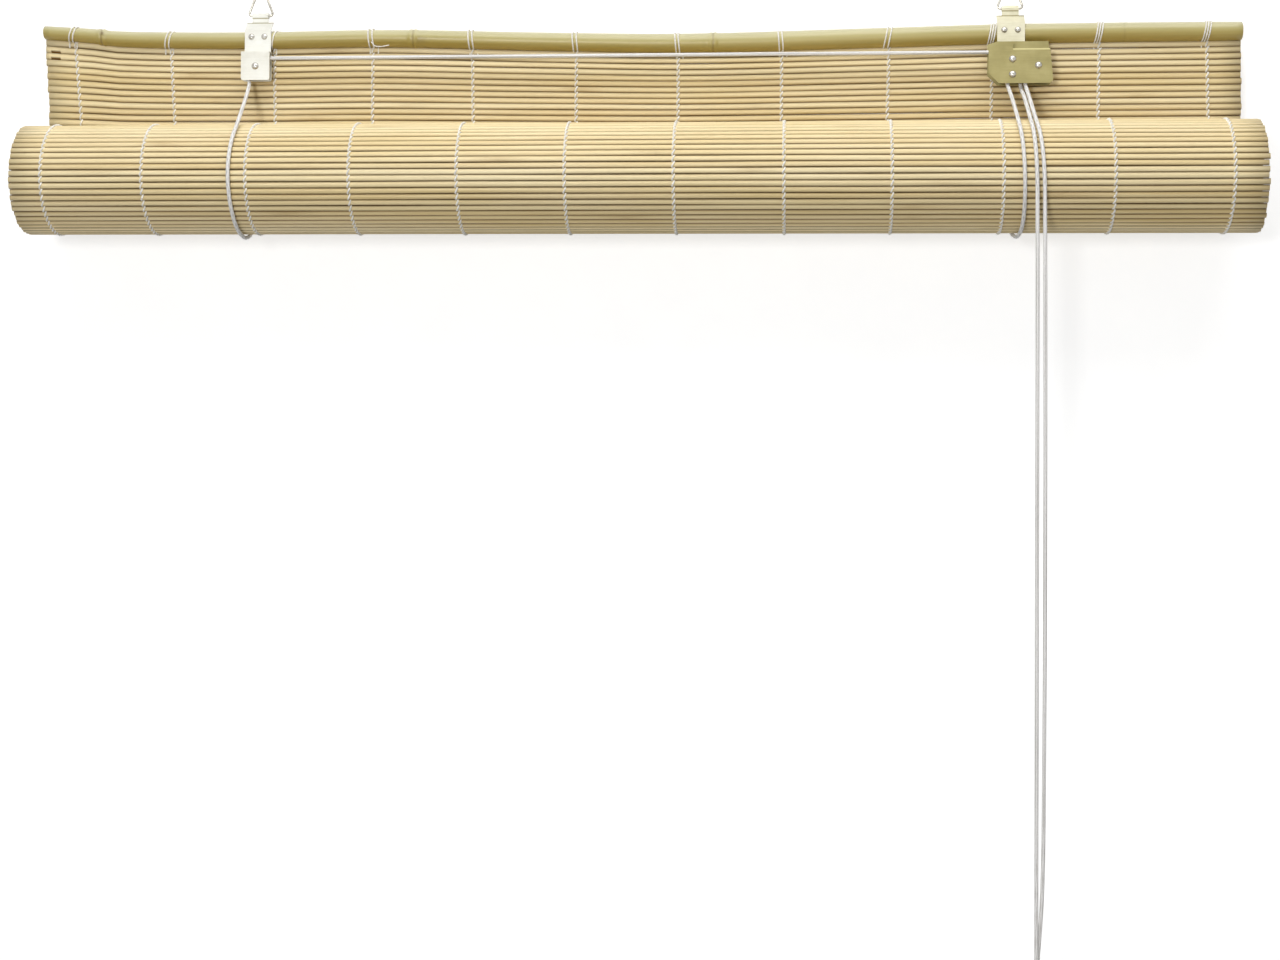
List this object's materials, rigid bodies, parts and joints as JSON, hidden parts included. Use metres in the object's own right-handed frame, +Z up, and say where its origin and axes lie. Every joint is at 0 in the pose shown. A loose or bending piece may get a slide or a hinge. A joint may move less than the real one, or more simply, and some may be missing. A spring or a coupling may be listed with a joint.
{
  "type": "bamboo roll-up blind",
  "caption": "Bamboo roll-up blind, rolled up below its head pole, with wire hanging rings, a pulley bracket, a cord lock and long pull cords.",
  "frame": {"origin": "midway between the two hanging rings, on the line where the hooks bear under the tops of the rings", "axes": "+X along the head pole to the cord lock's side, +Y towards the wall, +Z up; the front faces -Y"},
  "size_m": [0.804, 0.0901, 0.7384],
  "materials": {
    "bamboo_pole": "satin bamboo culm",
    "bamboo_mat": "dry split bamboo",
    "thread": "twisted cotton thread",
    "cord": "braided white cord",
    "pale_plate": "pale plated sheet",
    "lock_plate": "satin plated sheet",
    "ring_wire": "bright plated wire",
    "fastener": "plated",
    "pulley": "turned",
    "staple_wire": "galvanised"
  },
  "bodies": {
    "head": {"head_pole": "bamboo_pole", "bottom_pole": "bamboo_pole", "hanging_mat": "bamboo_mat", "rolled_mat": "bamboo_mat", "warp_threads": "thread", "pole_lashings": "thread", "left_hanger": "pale_plate", "right_hanger": "pale_plate", "bracket_screws": "fastener", "left_housing": "pale_plate", "left_axle": "fastener", "lock_back_plate": "lock_plate", "lock_front_plate": "lock_plate", "lock_axle": "fastener", "lock_guide": "fastener", "lock_cam_axle": "fastener", "cord_staples": "staple_wire", "left_cord": "cord", "right_cord": "cord", "anchor_knots": "cord", "cord_hank": "cord", "hank_tie": "cord", "cord_tails": "cord", "end_knots": "cord"},
    "left_ring": {"left_ring": "ring_wire"},
    "right_ring": {"right_ring": "ring_wire"},
    "left_pulley": {"left_pulley": "pulley"},
    "lock_pulley": {"lock_pulley": "pulley"},
    "lock_cam": {"lock_cam": "lock_plate"}
  },
  "joints": [
    {"name": "left_ring_swing", "type": "hinge", "parent": "head", "child": "left_ring", "pos_m": [-0.252, 0, -0.017], "axis": [1, 0, 0], "range_deg": [-110, 110]},
    {"name": "right_ring_swing", "type": "hinge", "parent": "head", "child": "right_ring", "pos_m": [0.252, 0, -0.017], "axis": [1, 0, 0], "range_deg": [-110, 110]},
    {"name": "left_pulley_spin", "type": "hinge", "parent": "head", "child": "left_pulley", "pos_m": [-0.252, -0.01105, -0.05345], "axis": [0, 1, 0], "continuous": true},
    {"name": "lock_pulley_spin", "type": "hinge", "parent": "head", "child": "lock_pulley", "pos_m": [0.252, -0.01305, -0.05345], "axis": [0, 1, 0], "continuous": true},
    {"name": "lock_cam_pivot", "type": "hinge", "parent": "head", "child": "lock_cam", "pos_m": [0.2687, -0.01305, -0.05765], "axis": [0, -1, 0], "range_deg": [0, 35]}
  ],
  "couplings": [
    {"joint": "left_pulley_spin", "follows": "lock_pulley_spin", "ratio": 1}
  ]
}
